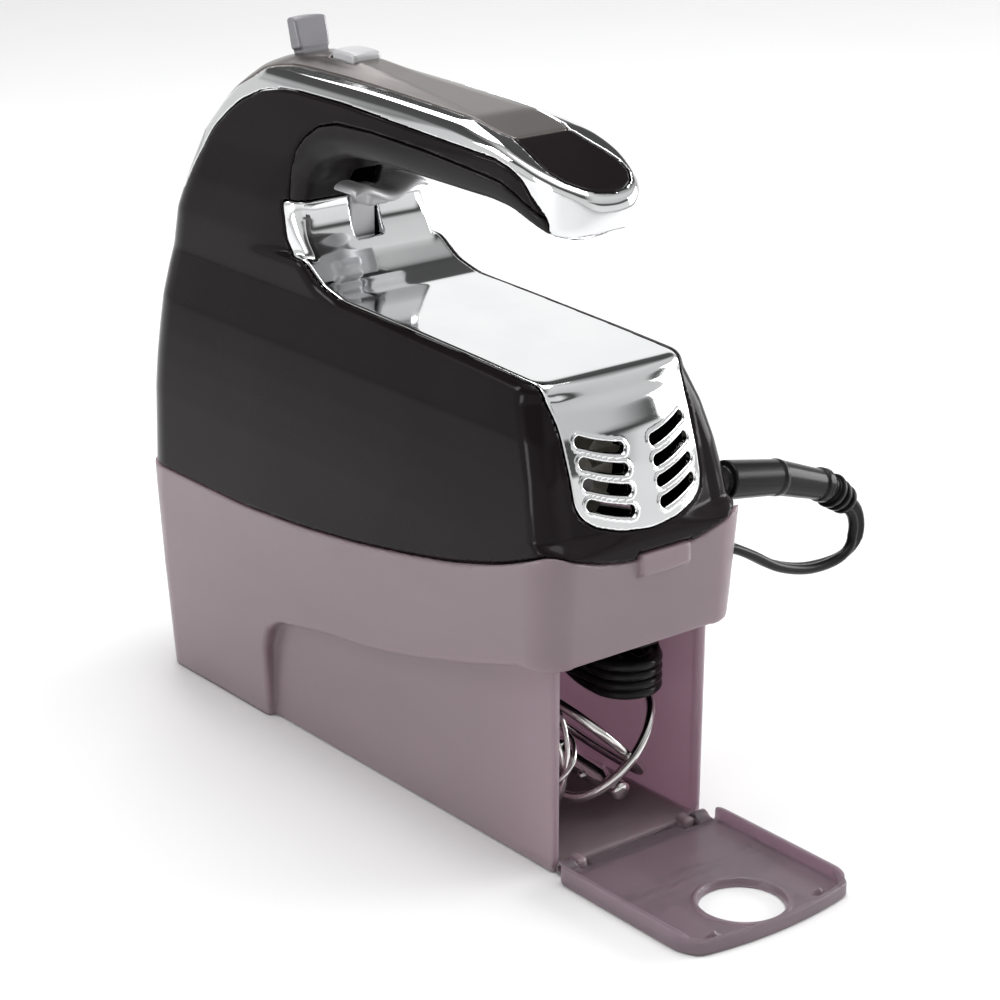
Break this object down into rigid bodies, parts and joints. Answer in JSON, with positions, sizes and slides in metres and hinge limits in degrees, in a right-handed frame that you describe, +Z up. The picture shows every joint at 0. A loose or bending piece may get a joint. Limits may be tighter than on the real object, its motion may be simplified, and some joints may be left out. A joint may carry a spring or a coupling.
{
  "type": "hand mixer with storage case",
  "caption": "Corded hand mixer with an open C-shaped handle, standing on its translucent storage case with the end door folded open, beaters, whisk and cord inside.",
  "frame": {"origin": "middle of the storage case's base, on the surface it stands on", "axes": "+X toward the case's door and the mixer's vents, +Y toward the side where the cord leaves, +Z up"},
  "size_m": [0.2588, 0.1286, 0.2114],
  "materials": {
    "smoky_plastic": "translucent smoky mauve, satin moulded",
    "gloss_black": "high gloss moulded black",
    "satin_black": "satin moulded black",
    "chrome": "bright plated",
    "silver_paint": "satin silver coated plastic",
    "steel": "turned and zinc plated",
    "iron": "laminated electrical steel",
    "copper": "enamelled copper",
    "nylon": "natural nylon",
    "brass": "plain brass",
    "carbon": "pressed carbon",
    "board": "glass laminate circuit board",
    "cord_rubber": "satin black vinyl"
  },
  "bodies": {
    "case": {"storage_case": "smoky_plastic"},
    "door": {"case_door": "smoky_plastic"},
    "mixer": {"main_housing": "gloss_black", "deck_cover": "chrome", "inner_cover": "satin_black", "handle_trim": "chrome", "handle_top_cover": "gloss_black", "handle_end_inlay": "gloss_black", "base_cover": "satin_black", "base_screw_1": "steel", "base_screw_2": "steel", "base_screw_3": "steel", "base_screw_4": "steel", "stator_core": "iron", "field_coil_upper": "copper", "field_coil_lower": "copper", "front_bearing": "brass", "rear_bearing": "brass", "rear_bracket": "steel", "brush_holder_right": "brass", "carbon_brush_right": "carbon", "brush_holder_left": "brass", "carbon_brush_left": "carbon", "gearbox_frame": "steel", "spindle_bush_right": "brass", "spindle_bush_left": "brass", "eject_spring": "steel", "lever_pin": "steel", "speed_switch": "satin_black", "button_spring": "steel", "burst_switch": "satin_black", "control_board": "board", "cord_boot": "cord_rubber", "cord_neck": "cord_rubber", "power_cord": "cord_rubber", "cord_hank": "cord_rubber", "plug": "cord_rubber", "plug_blade_right": "brass", "plug_blade_left": "brass"},
    "rotor": {"motor_shaft": "steel", "armature_core": "iron", "commutator": "copper", "cooling_fan": "nylon"},
    "drive_right": {"spindle_right": "steel", "spindle_gear_right": "nylon"},
    "drive_left": {"spindle_left": "steel", "spindle_gear_left": "nylon"},
    "speed_control": {"speed_lever": "silver_paint"},
    "burst_control": {"burst_button": "silver_paint"},
    "eject_control": {"eject_lever": "silver_paint", "eject_plate": "nylon"},
    "attachments": {"beater_1": "chrome", "beater_2": "chrome", "whisk": "chrome"}
  },
  "joints": [
    {"name": "door_hinge", "type": "hinge", "parent": "case", "child": "door", "pos_m": [0.0984, 0, 0.0022], "axis": [0, 1, 0], "range_deg": [-90, 0]},
    {"name": "mixer_lift", "type": "slide", "parent": "case", "child": "mixer", "axis": [0, 0, 1], "range_m": [0, 0.12]},
    {"name": "rotor_spin", "type": "hinge", "parent": "mixer", "child": "rotor", "pos_m": [0, 0, 0.101], "axis": [1, 0, 0], "continuous": true},
    {"name": "spindle_right_spin", "type": "hinge", "parent": "mixer", "child": "drive_right", "pos_m": [-0.062, -0.015, 0.09], "axis": [0, 0, 1], "continuous": true},
    {"name": "spindle_left_spin", "type": "hinge", "parent": "mixer", "child": "drive_left", "pos_m": [-0.062, 0.015, 0.09], "axis": [0, 0, 1], "continuous": true},
    {"name": "speed_lever_swing", "type": "hinge", "parent": "mixer", "child": "speed_control", "pos_m": [-0.036, 0, 0.146], "axis": [0, -1, 0], "range_deg": [0, 24]},
    {"name": "burst_press", "type": "slide", "parent": "mixer", "child": "burst_control", "axis": [0, 0, -1], "range_m": [0, 0.0025], "stiffness_N_per_m": 500, "springref_m": -0.0006, "deforming": ["button_spring"]},
    {"name": "eject_press", "type": "slide", "parent": "mixer", "child": "eject_control", "axis": [0, 0, -1], "range_m": [0, 0.005], "stiffness_N_per_m": 700, "springref_m": -0.002, "deforming": ["eject_spring"]},
    {"name": "attachments_slide", "type": "slide", "parent": "case", "child": "attachments", "axis": [1, 0, 0], "range_m": [0, 0.18]}
  ],
  "couplings": [
    {"joint": "spindle_right_spin", "follows": "rotor_spin", "ratio": 0.05},
    {"joint": "spindle_left_spin", "follows": "rotor_spin", "ratio": -0.05}
  ]
}
